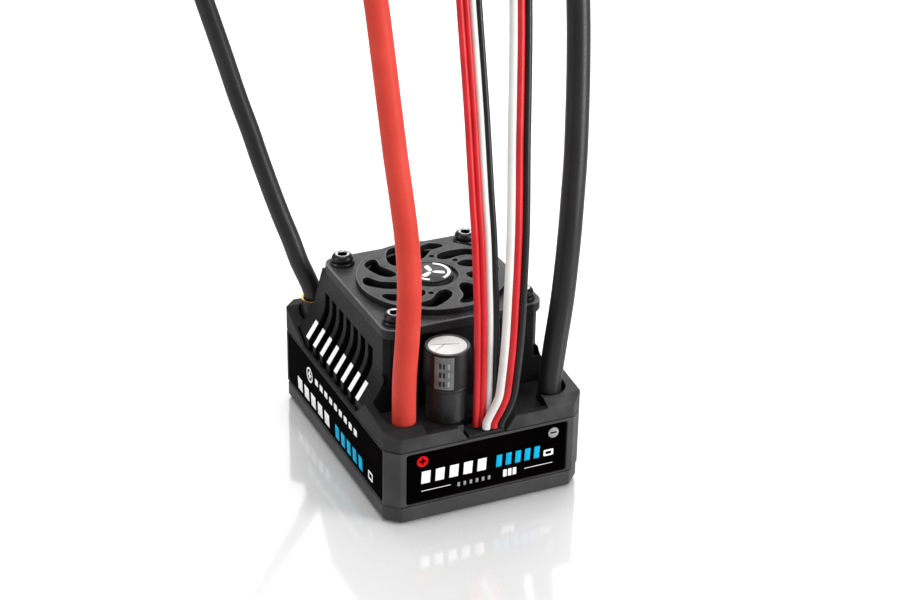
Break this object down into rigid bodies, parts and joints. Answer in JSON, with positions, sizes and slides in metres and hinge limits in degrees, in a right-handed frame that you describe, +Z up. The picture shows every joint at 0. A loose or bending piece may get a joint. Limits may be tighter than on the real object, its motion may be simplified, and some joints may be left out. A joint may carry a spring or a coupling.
{
  "type": "electronic speed controller",
  "caption": "Brushless motor speed controller: boxy case with a finned heatsink and cooling fan on top, and battery, motor, switch and receiver leads rising from it.",
  "frame": {"origin": "middle of the underside of the case", "axes": "+Z up through the heatsink and fan; -Y towards the front end, where the battery leads and the front label are; +X to the right when the front end is looked at"},
  "size_m": [0.0598, 0.0846, 0.1163],
  "materials": {
    "case_plastic": "matte",
    "cover_plastic": "matte",
    "anodised_aluminium": "satin",
    "guard_metal": "satin",
    "fan_plastic": "satin",
    "label_film": "satin",
    "black_steel": "satin",
    "bare_aluminium": "satin",
    "copper": "satin",
    "gold_plate": "polished",
    "circuit_board": "matte",
    "black_epoxy": "matte",
    "pad_rubber": "matte",
    "red_silicone": "matte",
    "black_silicone": "matte",
    "switch_wire": "satin",
    "receiver_wire": "satin",
    "steel": "satin",
    "red_plastic": "satin"
  },
  "bodies": {
    "controller": {"bottom_plate": "case_plastic", "case_body": "case_plastic", "top_cover": "cover_plastic", "front_label": "label_film", "left_label": "label_film", "right_label": "label_film", "heatsink": "anodised_aluminium", "fan_housing": "fan_plastic", "fan_bearing": "gold_plate", "fan_stator": "copper", "fan_guard": "guard_metal", "hub_badge": "bare_aluminium", "control_board": "circuit_board", "board_header": "black_epoxy", "power_board": "circuit_board", "thermal_pad": "pad_rubber", "battery_post_positive": "copper", "battery_post_negative": "copper", "phase_tab_left": "gold_plate", "phase_tab_middle": "gold_plate", "phase_tab_right": "gold_plate", "capacitor_stand": "cover_plastic", "capacitor_can": "bare_aluminium", "capacitor_sleeve": "label_film", "ribbon_grommet": "black_silicone", "positive_lead": "red_silicone", "negative_lead": "black_silicone", "motor_lead": "black_silicone", "switch_ribbon": "switch_wire", "receiver_ribbon": "receiver_wire", "positive_bullet": "gold_plate", "negative_bullet": "gold_plate", "motor_bullet": "gold_plate", "positive_shrink": "red_silicone", "negative_shrink": "black_silicone", "motor_shrink": "black_silicone", "receiver_plug": "black_epoxy", "switch_housing": "black_epoxy", "case_screw_1": "black_steel", "fan_screw_1": "black_steel", "fan_washer_1": "black_steel", "power_transistor_1": "black_epoxy", "case_screw_2": "black_steel", "fan_screw_2": "black_steel", "fan_washer_2": "black_steel", "power_transistor_2": "black_epoxy", "case_screw_3": "black_steel", "fan_screw_3": "black_steel", "fan_washer_3": "black_steel", "power_transistor_3": "black_epoxy", "case_screw_4": "black_steel", "fan_screw_4": "black_steel", "fan_washer_4": "black_steel", "power_transistor_4": "black_epoxy"},
    "rotor": {"fan_rotor": "fan_plastic", "fan_shaft": "steel"},
    "slider": {"switch_slider": "black_epoxy"},
    "button": {"set_button": "red_plastic"}
  },
  "joints": [
    {"name": "fan_spin", "type": "hinge", "parent": "controller", "child": "rotor", "pos_m": [0, -0.0007, 0.0273], "axis": [0, 0, 1], "continuous": true},
    {"name": "power_slide", "type": "slide", "parent": "controller", "child": "slider", "axis": [0, 0, 1], "range_m": [0, 0.0026]},
    {"name": "set_press", "type": "slide", "parent": "controller", "child": "button", "axis": [0, 1, 0], "range_m": [0, 0.0005], "stiffness_N_per_m": 200}
  ]
}
